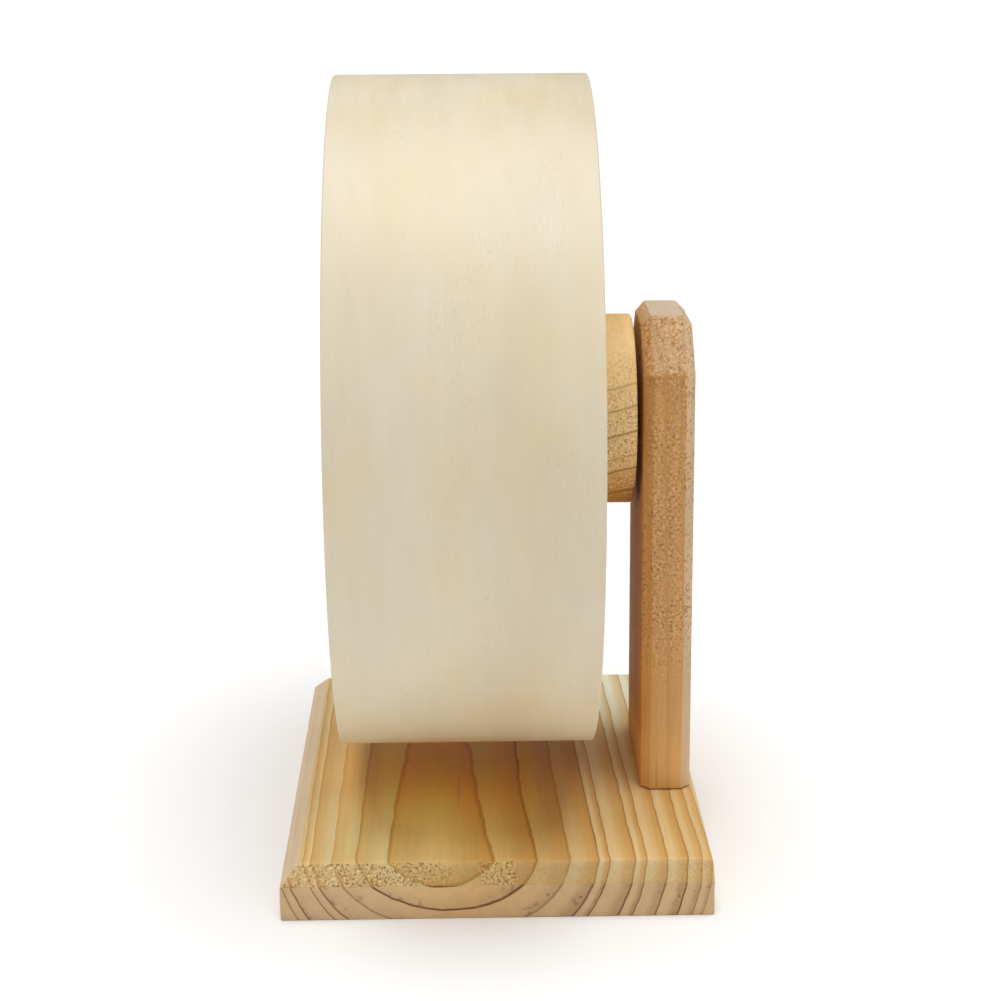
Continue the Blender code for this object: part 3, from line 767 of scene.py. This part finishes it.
def rounded_ring(inner, outer, low, high, edge, steps=3):
    """A ring's section with its four edges rounded, as a closed profile that runs down the outer side."""
    corners = ((outer, high, 90, 0), (outer, low, 0, -90), (inner, low, -90, -180), (inner, high, 180, 90))
    points = []
    for radius, height, start, end in corners:
        centre_r = radius - edge if radius == outer else radius + edge
        centre_h = height - edge if height == high else height + edge
        for i in range(steps + 1):
            angle = math.radians(start + (end - start) * i / steps)
            points.append((centre_r + edge * math.cos(angle), centre_h + edge * math.sin(angle)))
    return points


def carved(name, mesh, cutters, joiners=()):
    """The mesh with the cutters' volumes taken away and the joiners' added."""
    scratch = [add_object(name, mesh)]
    for operation, others in (("UNION", joiners), ("DIFFERENCE", cutters)):
        for i, other in enumerate(others):
            boolean = scratch[0].modifiers.new(f"{operation} {i}", "BOOLEAN")
            boolean.operation = operation
            boolean.solver = "EXACT"
            boolean.object = add_object(f"{name} {operation} {i}", other)
            scratch.append(boolean.object)
    bpy.context.view_layer.update()
    graph = bpy.context.evaluated_depsgraph_get()
    made = bpy.data.meshes.new_from_object(scratch[0].evaluated_get(graph))
    made.name = name
    for done in scratch:
        bpy.data.objects.remove(done, do_unlink=True)
    return made


def near(a, b):
    return abs(a - b) < 0.01 * MM


def bevel(shape, width, chosen, segments=1):
    edges = [e for e in shape.edges if chosen(e, *(v.co for v in e.verts))]
    bmesh.ops.bevel(
        shape, geom=edges, offset=width, segments=segments, profile=0.5, affect="EDGES", clamp_overlap=True
    )


def board_mesh(name, low, high, cuts, seed):
    """A sawn board between two corners, with chamfers cut, arrises eased, and small dents along them."""
    shape = bmesh.new()
    size = high - low
    place = Matrix.Translation((high + low) / 2) @ Matrix.Diagonal((*size, 1))
    bmesh.ops.create_cube(shape, size=1, matrix=place)
    for width, chosen in cuts:
        bevel(shape, width, chosen)
    bevel(shape, ARRIS, lambda e, a, b: e.calc_face_angle(0) > math.radians(20), 2)
    for axis in range(3):
        count = int(size[axis] / DENT_STEP)
        normal = Vector((0, 0, 0))
        normal[axis] = 1
        for i in range(1, count):
            point = low + normal * (size[axis] * i / count)
            everything = shape.verts[:] + shape.edges[:] + shape.faces[:]
            bmesh.ops.bisect_plane(shape, geom=everything, plane_co=point, plane_no=normal, dist=0.001 * MM)
    shape.normal_update()
    dents = []
    for vertex in shape.verts:
        bend = max(edge.calc_face_angle(0) for edge in vertex.link_edges)
        if bend > math.radians(8):
            rough = noise.noise(vertex.co * DENT_NOISE + Vector((seed, 0, 0)))
            depth = DENT_LEAST + DENT_MORE * max(0.0, rough - 0.12)
            dents.append((vertex, vertex.normal * -depth))
    for vertex, move in dents:
        vertex.co += move
    return to_mesh(shape, name)


def thread_swell(root, crest, pitch, start, end):
    """A radius that follows a helical ridge between two heights, and fades out at both ends."""
    fade = 1.5 * pitch

    def swell(angle, height, radius):
        if not end <= height <= start:
            return radius
        turn = (height / pitch - angle / (2 * math.pi)) % 1
        ridge = max(0.0, 1 - abs(turn - 0.5) * 3.2)
        share = min(1.0, (start - height) / fade, (height - end) / fade)
        return radius + (crest - root) * ridge * share

    return swell


def spread(start, end, step):
    """Evenly spaced values from start to end, both included, no further apart than step."""
    count = max(1, math.ceil(abs(end - start) / step))
    return [start + (end - start) * i / count for i in range(count + 1)]


def wood_screw_mesh(name, spec, place):
    """A countersunk screw with a thread, a point and a cross recess, and its head's face at height 0."""
    length, head, crest, root, pitch, threaded = (
        spec[k] * MM for k in ("length", "head", "crest", "root", "pitch", "threaded")
    )
    neck = -(head - root) - HEAD_EDGE
    tip = -length + 3 * root
    thread_top = -length + threaded
    profile = [(0, 0), (head - 0.15 * MM, 0), (head, -0.1 * MM), (head, -HEAD_EDGE), (root, neck)]
    profile += [(root, h) for h in spread(min(thread_top, neck - HEAD_EDGE), tip, pitch / 9)]
    profile += [(root * (h + length) / (tip + length), h) for h in spread(tip, -length, pitch / 9)[1:-1]]
    profile.append((0, -length))
    swell = thread_swell(root, crest, pitch, thread_top, -length + 0.8 * root)
    screw = turned_mesh(name, profile, SCREW_SIDES, Matrix.Identity(4), swell)
    slots = []
    for turn in (0, math.pi / 2):
        slot = bmesh.new()
        size = Matrix.Diagonal((1.25 * head, 0.26 * head, 1.0 * head, 1))
        bmesh.ops.create_cube(slot, size=1, matrix=Matrix.Rotation(turn, 4, "Z") @ size)
        slots.append(to_mesh(slot, "slot"))
    made = carved(name, screw, slots)
    made.transform(place)
    return made


def screw_hole_mesh(spec, place):
    """The countersunk hole that a wood screw sits in."""
    head, crest, length = (spec[k] * MM + SCREW_GAP for k in ("head", "crest", "length"))
    neck = -(head - crest) - HEAD_EDGE
    profile = [(0, OVERSHOOT), (head, OVERSHOOT), (head, -HEAD_EDGE), (crest, neck), (crest, -length)]
    return turned_mesh("hole", profile + [(0, -length)], HOLE_SIDES, place)


def screw_holes(spec, places):
    return [screw_hole_mesh(spec, place) for _, place in places()]


def prism_mesh(radius, tip_radius, length, sides, place):
    shape = bmesh.new()
    bmesh.ops.create_cone(
        shape, cap_ends=True, segments=sides, radius1=tip_radius, radius2=radius, depth=length, matrix=place
    )
    return to_mesh(shape, "prism")


# The stand


def post_screw_places():
    for name in ("post_screw_left", "post_screw_right"):
        low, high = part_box(name)
        middle = (low + high) / 2
        yield name, Matrix.Translation((middle.x, middle.y, low.z)) @ TURN_OVER


def make_base(material):
    low, high = BASE_LOW, BASE_HIGH

    def on_top(a, b):
        return near(a.z, high.z) and near(b.z, high.z)

    cuts = [
        (BASE_CHAMFER, lambda e, a, b: on_top(a, b) and (
            near(abs(a.x + b.x), 2 * high.x) or (near(a.y, low.y) and near(b.y, low.y)))),
        (EASED_EDGE, lambda e, a, b: on_top(a, b) and near(a.y, high.y) and near(b.y, high.y)),
    ]
    name = "base_board_wood"
    board = carved(name, board_mesh(name, low, high, cuts, 3), screw_holes(POST_SCREW, post_screw_places))
    add_piece(name, board, material, "stand", "pine", "base_board")


def make_post(material):
    low, high = POST_LOW, POST_HIGH
    cuts = [
        (POST_CORNER_CUT, lambda e, a, b: near(a.z, high.z) and near(b.z, high.z) and near(a.x, b.x)),
        (POST_CHAMFER, lambda e, a, b: near(a.y, b.y) and (near(a.y, low.y) or near(a.y, high.y)) and not (
            near(a.z, low.z) and near(b.z, low.z))),
    ]
    flange = NUT_RADIUS + 2 * FIT_GAP
    flange_seat = -FLANGE_THICKNESS - 2 * FIT_GAP
    barrel = BARREL_RADIUS + FIT_GAP
    barrel_end = -BARREL_LENGTH - FIT_GAP
    bore = BOLT_RADIUS + FIT_GAP
    far_side = low.y - high.y - OVERSHOOT
    profile = [
        (0, OVERSHOOT), (flange, OVERSHOOT), (flange, flange_seat), (barrel, flange_seat),
        (barrel, barrel_end), (bore, barrel_end), (bore, far_side), (0, far_side),
    ]
    holes = [turned_mesh("axle hole", profile, BOLT_SIDES, on_axle(high.y))]
    holes += screw_holes(POST_SCREW, post_screw_places) + prong_meshes(2 * FIT_GAP)
    name = "upright_post_wood"
    post = carved(name, board_mesh(name, low, high, cuts, 11), holes)
    add_piece(name, post, material, "stand", "red_fir", "upright_post")


def prong_meshes(gap):
    """The tee nut's prongs, or the pockets that they go in, wider by gap."""
    made = []
    for i in range(PRONG_COUNT):
        turn = Matrix.Rotation((i + 0.5) * 2 * math.pi / PRONG_COUNT, 4, "Z")
        middle = -FLANGE_THICKNESS - PRONG_LENGTH / 2 + PRONG_ROOT
        place = on_axle(NUT_HIGH.y) @ turn @ Matrix.Translation((PRONG_RING, 0, middle))
        made.append(prism_mesh(PRONG_RADIUS + gap, PRONG_TIP + gap, PRONG_LENGTH + 2 * gap, 4, place))
    return made


def make_tee_nut(material):
    thick = FLANGE_THICKNESS
    bore = BOLT_RADIUS + FIT_GAP
    profile = [
        (NUT_RADIUS - 0.3 * MM, 0), (NUT_RADIUS, -0.3 * MM), (NUT_RADIUS, -thick + 0.2 * MM),
        (NUT_RADIUS - 0.2 * MM, -thick), (BARREL_RADIUS + 0.4 * MM, -thick),
        (BARREL_RADIUS, -thick - 0.4 * MM), (BARREL_RADIUS, -BARREL_LENGTH),
        (bore, -BARREL_LENGTH), (bore, -0.5 * MM), (bore + 0.5 * MM, 0),
    ]
    nut = turned_mesh("nut", profile, BOLT_SIDES, on_axle(NUT_HIGH.y))
    nut = carved("tee_nut_steel", nut, [], prong_meshes(0))
    add_piece("tee_nut_steel", nut, material, "stand", "zinc_steel", "tee_nut")


def make_axle(material):
    """The bolt, with its thread and hex socket, and the washer and sleeves on it."""
    seat = BOLT_LOW.y + BOLT_HEAD_THICKNESS
    length = BOLT_HIGH.y - seat
    head = (BOLT_HIGH.x - BOLT_LOW.x) / 2
    top = BOLT_HEAD_THICKNESS
    root = BOLT_RADIUS - THREAD_DEPTH
    end = -length + 1 * MM
    thread_top = end + BOLT_THREAD_LENGTH
    profile = [
        (0, top), (head - 0.9 * MM, top), (head - 0.3 * MM, top - 0.3 * MM), (head, top - 0.9 * MM),
        (head, 0.2 * MM), (head - 0.2 * MM, 0), (BOLT_RADIUS, 0), (BOLT_RADIUS, thread_top + THREAD_DEPTH),
    ]
    profile += [(root, h) for h in spread(thread_top, end, BOLT_PITCH / 10)]
    profile += [(root - 0.2 * MM, -length), (0, -length)]
    place = on_axle(seat) @ TURN_OVER
    swell = thread_swell(root, BOLT_RADIUS, BOLT_PITCH, thread_top, end)
    bolt = turned_mesh("bolt", profile, BOLT_SIDES, place, swell)
    socket_length = BOLT_SOCKET_DEPTH + OVERSHOOT
    socket_place = place @ Matrix.Translation((0, 0, top - BOLT_SOCKET_DEPTH + socket_length / 2))
    socket = prism_mesh(BOLT_SOCKET_RADIUS, BOLT_SOCKET_RADIUS, socket_length, 6, socket_place)
    bolt = carved("axle_bolt_steel", bolt, [socket])
    add_piece("axle_bolt_steel", bolt, material, "stand", "zinc_steel", "axle_bolt")
    for node in ("head_washer", "front_spacer", "rear_spacer"):
        low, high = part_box(node)
        profile = rounded_ring(BOLT_RADIUS + FIT_GAP, (high.x - low.x) / 2, 0, high.y - low.y, 0.2 * MM)
        mesh = turned_mesh(node + "_steel", profile, BOLT_SIDES, on_axle(low.y))
        add_piece(node + "_steel", mesh, material, "stand", "zinc_steel", node)


# The bearing


def groove(shoulder, outward, steps=10):
    """A bearing ring's ball groove, as an arc from its high side to its low side."""
    side = 1 if outward else -1
    half = math.acos(side * (shoulder - BALL_PITCH_RADIUS) / GROOVE_RADIUS)
    angles = [half - 2 * half * i / steps for i in range(steps + 1)]
    return [
        (BALL_PITCH_RADIUS + side * GROOVE_RADIUS * math.cos(a), GROOVE_RADIUS * math.sin(a)) for a in angles
    ]


def make_bearing_rings(material):
    half = (RING_HIGH.y - RING_LOW.y) / 2
    middle = (RING_HIGH.y + RING_LOW.y) / 2
    edge = 0.3 * MM
    lip = 0.15 * MM
    inner = [
        (INNER_SHOULDER - lip, half), (INNER_SHOULDER, half - lip), *groove(INNER_SHOULDER, False),
        (INNER_SHOULDER, -half + lip), (INNER_SHOULDER - lip, -half), (BEARING_BORE + edge, -half),
        (BEARING_BORE, -half + edge), (BEARING_BORE, half - edge), (BEARING_BORE + edge, half),
    ]
    shield_low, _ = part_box("bearing_rear_shield")
    seat = shield_low.y - middle - FIT_GAP
    outer = [
        (RING_RADIUS - edge, half), (RING_RADIUS, half - edge), (RING_RADIUS, -half + edge),
        (RING_RADIUS - edge, -half), (SHIELD_SEAT, -half), (SHIELD_SEAT, -seat), (OUTER_SHOULDER, -seat),
        *reversed(groove(OUTER_SHOULDER, True)),
        (OUTER_SHOULDER, seat), (SHIELD_SEAT, seat), (SHIELD_SEAT, half),
    ]
    for node, profile, body in (
        ("bearing_inner_ring", inner, "stand"),
        ("bearing_outer_ring", outer, "wheel"),
    ):
        mesh = turned_mesh(node + "_steel", profile, BEARING_SIDES, on_axle(middle))
        add_piece(node + "_steel", mesh, material, body, "bearing_steel", node)


def make_bearing_shields(material):
    """Thin pressed rings, dished a little towards the outside."""
    for node, side in (("bearing_rear_shield", 1), ("bearing_front_shield", -1)):
        low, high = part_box(node)
        inside = INNER_SHOULDER + 0.3 * MM
        outside = (high.x - low.x) / 2
        half = (high.y - low.y) / 2
        step = SHIELD_STEP * side
        profile = [
            (outside, half), (outside, -half), (SHIELD_FLAT, -half),
            (SHIELD_DISH, -half + step), (inside, -half + step), (inside, half + step),
            (SHIELD_DISH, half + step), (SHIELD_FLAT, half),
        ]
        mesh = turned_mesh(node + "_steel", profile, BEARING_SIDES, on_axle((low.y + high.y) / 2))
        add_piece(node + "_steel", mesh, material, "wheel", "shield_steel", node)


def make_balls(material):
    for i in range(1, BALL_COUNT + 1):
        node = f"bearing_ball_{i}"
        low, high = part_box(node)
        place = Matrix.Translation((low + high) / 2)
        ball = bmesh.new()
        bmesh.ops.create_icosphere(ball, subdivisions=4, radius=BALL_RADIUS, matrix=place)
        add_piece(node + "_steel", to_mesh(ball, "ball"), material, "cage_and_balls", "bearing_steel", node)


def paint_cage(material):
    """The cage stays the CAD's own solid."""
    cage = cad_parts["bearing_cage"]
    cage.data.materials.clear()
    cage.data.materials.append(material)


# The wheel


def make_rim(material):
    """The bent band, with the fine step of its glued lap on the side that the photo doesn't show."""
    inner = RIM_RADIUS - RIM_THICKNESS
    profile = rounded_ring(inner, RIM_RADIUS, 0, RIM_HIGH.y - RIM_LOW.y, RIM_EDGE, 4)
    lap = LAP_WIDTH / RIM_RADIUS
    angles = [LAP_ANGLE + lap * share for share in (0, 0.3, 0.7, 1)]
    angles += [LAP_ANGLE + lap + (2 * math.pi - lap) * i / RIM_SIDES for i in range(1, RIM_SIDES)]
    shape = bmesh.new()
    grain = shape.verts.layers.float_vector.new("grain")
    rings = []
    for i, angle in enumerate(angles):
        dip = LAP_DEPTH if i in (1, 2) else 0
        ring = []
        for radius, height in profile:
            reach = radius - dip if radius > RIM_RADIUS - RIM_THICKNESS / 2 else radius
            vertex = shape.verts.new((reach * math.cos(angle), reach * math.sin(angle), height))
            vertex[grain] = ((angle - LAP_ANGLE) * RIM_RADIUS, height, radius)
            ring.append(vertex)
        rings.append(ring)
    skin(shape, zip(rings, rings[1:] + rings[:1]))
    mesh = placed_mesh(shape, "rim_band_plywood", on_axle(RIM_LOW.y))
    add_piece("rim_band_plywood", mesh, material, "wheel", "poplar_plywood", "rim_band")


def make_cork(material):
    """The lining, a little uneven between its granules, with a butt joint where its ends meet."""
    outer = (CORK_HIGH.z - CORK_LOW.z) / 2
    inner = outer - CORK_THICKNESS
    gap = CORK_JOINT_GAP / outer
    heights = spread(0, CORK_HIGH.y - CORK_LOW.y, MESH_STEP)
    section = [(outer, h) for h in reversed(heights)] + [(inner, h) for h in heights]
    shape = bmesh.new()
    rings = []
    for i in range(CORK_SIDES + 1):
        angle = CORK_JOINT_ANGLE + gap / 2 + (2 * math.pi - gap) * i / CORK_SIDES
        ring = []
        for radius, height in section:
            reach = radius
            if radius == inner:
                at = Vector((math.cos(angle), math.sin(angle), 0)) * inner + Vector((0, 0, height))
                reach += CORK_UNEVENNESS * noise.noise(at * CORK_NOISE)
            ring.append(shape.verts.new((reach * math.cos(angle), reach * math.sin(angle), height)))
        rings.append(ring)
    skin(shape, zip(rings, rings[1:]))
    shape.faces.new(rings[0])
    shape.faces.new(rings[-1])
    mesh = placed_mesh(shape, "cork_lining_sheet", on_axle(CORK_LOW.y))
    add_piece("cork_lining_sheet", mesh, material, "wheel", "cork", "cork_lining")


def hub_screw_places():
    """The screws go in from the drum's side, so each head's face is at its box's low Y."""
    for i in range(1, 5):
        name = f"hub_screw_{i}"
        low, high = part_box(name)
        middle = (low + high) / 2
        yield name, Matrix.Translation((middle.x, low.y, middle.z)) @ TURN_TO_Y @ TURN_OVER


def make_disc(material):
    outside = (DISC_HIGH.z - DISC_LOW.z) / 2
    profile = rounded_ring(DISC_HOLE, outside, 0, DISC_HIGH.y - DISC_LOW.y, DISC_EDGE)
    disc = turned_mesh("disc", profile, DISC_SIDES, on_axle(DISC_LOW.y))
    disc = carved("back_disc_plywood", disc, screw_holes(HUB_SCREW, hub_screw_places))
    add_piece("back_disc_plywood", disc, material, "wheel", "poplar_plywood", "back_disc")


def make_hub(material):
    radius = (HUB_HIGH.x - HUB_LOW.x) / 2
    length = HUB_HIGH.y - HUB_LOW.y
    seat_radius = RING_RADIUS + FIT_GAP
    seat_end = RING_HIGH.y + SEAT_GAP - HUB_LOW.y
    rounding = [EASED_EDGE * (1 - math.sin(math.pi / 8 * i)) for i in range(5)]
    profile = [(radius - inward, length - down) for inward, down in zip(rounding, reversed(rounding))]
    profile += [(radius, h) for h in spread(length - EASED_EDGE, 0.3 * MM, MESH_STEP)[1:]]
    profile += [
        (radius - 0.3 * MM, 0), (seat_radius, 0), (seat_radius, seat_end), (HUB_HOLE, seat_end),
        (HUB_HOLE, length - 0.4 * MM), (HUB_HOLE + 0.4 * MM, length),
    ]
    hub = turned_mesh("hub", profile, HUB_SIDES, on_axle(HUB_LOW.y))
    hub = carved("hub_block_wood", hub, screw_holes(HUB_SCREW, hub_screw_places))
    add_piece("hub_block_wood", hub, material, "wheel", "pine", "hub_block")


def make_screws(material):
    for spec, places, body in (
        (POST_SCREW, post_screw_places, "stand"),
        (HUB_SCREW, hub_screw_places, "wheel"),
    ):
        for node, place in places():
            screw = wood_screw_mesh(node + "_steel", spec, place)
            add_piece(node + "_steel", screw, material, body, "zinc_steel", node)


# The studio


def add_sun(name, energy, size, direction):
    """A distant soft light, with its apparent size in degrees and the direction towards it."""
    sun = add_object(name, bpy.data.lights.new(name, "SUN"))
    sun.data.energy = energy
    sun.data.angle = math.radians(size)
    sun.rotation_euler = Vector(direction).to_track_quat("Z", "Y").to_euler()


def make_studio():
    shape = bmesh.new()
    bmesh.ops.create_grid(shape, x_segments=4, y_segments=4, size=FLOOR_HALF)
    floor = add_object("studio_floor", to_mesh(shape, "studio_floor"))
    floor.data.materials.append(studio_floor())

    add_sun("key_light", energy=2.6, size=50, direction=(0.05, 0, 1))
    add_sun("fill_light", energy=0.42, size=60, direction=(0.8, 0.3, 0.45))

    world = bpy.data.worlds.new("studio")
    world.use_nodes = True
    background = world.node_tree.nodes["Background"]
    background.inputs["Color"].default_value = (1, 1, 1, 1)
    background.inputs["Strength"].default_value = SKY_STRENGTH
    bpy.context.scene.world = world
    bpy.context.scene.view_settings.view_transform = "Standard"


def make_camera():
    flat = math.cos(CAMERA_PITCH)
    forward = Vector((-math.cos(CAMERA_YAW) * flat, math.sin(CAMERA_YAW) * flat, -math.sin(CAMERA_PITCH)))
    right = Vector((math.sin(CAMERA_YAW), math.cos(CAMERA_YAW), 0))
    level = Matrix((right, right.cross(forward), -forward)).transposed()
    rolled = level @ Matrix.Rotation(CAMERA_ROLL, 3, "Z")
    camera = add_object("camera", bpy.data.cameras.new("camera"))
    camera.data.lens = CAMERA_LENS
    camera.data.sensor_width = CAMERA_SENSOR
    camera.matrix_world = Matrix.Translation(CAMERA_PLACE) @ rolled.to_4x4()
    bpy.context.scene.camera = camera


def main():
    zinc = steel("zinc plate", (0.66, 0.665, 0.67), 0.3, (1, 0.25, 1), (0.93, 0.92, 0.86))
    ground = steel("bearing steel", (0.72, 0.72, 0.73), 0.16, (1, 0.1, 1), (0.97, 0.97, 0.96))
    pressed = steel("shield steel", (0.60, 0.60, 0.61), 0.34, (1, 1, 1), (0.95, 0.95, 0.94))
    make_base(base_pine())
    make_post(post_fir())
    make_tee_nut(zinc)
    make_axle(zinc)
    make_bearing_rings(ground)
    make_bearing_shields(pressed)
    make_balls(ground)
    paint_cage(nylon_cage())
    make_rim(rim_veneer())
    make_cork(cork_sheet())
    make_disc(disc_veneer())
    make_hub(hub_pine())
    make_screws(zinc)
    make_studio()
    make_camera()


main()
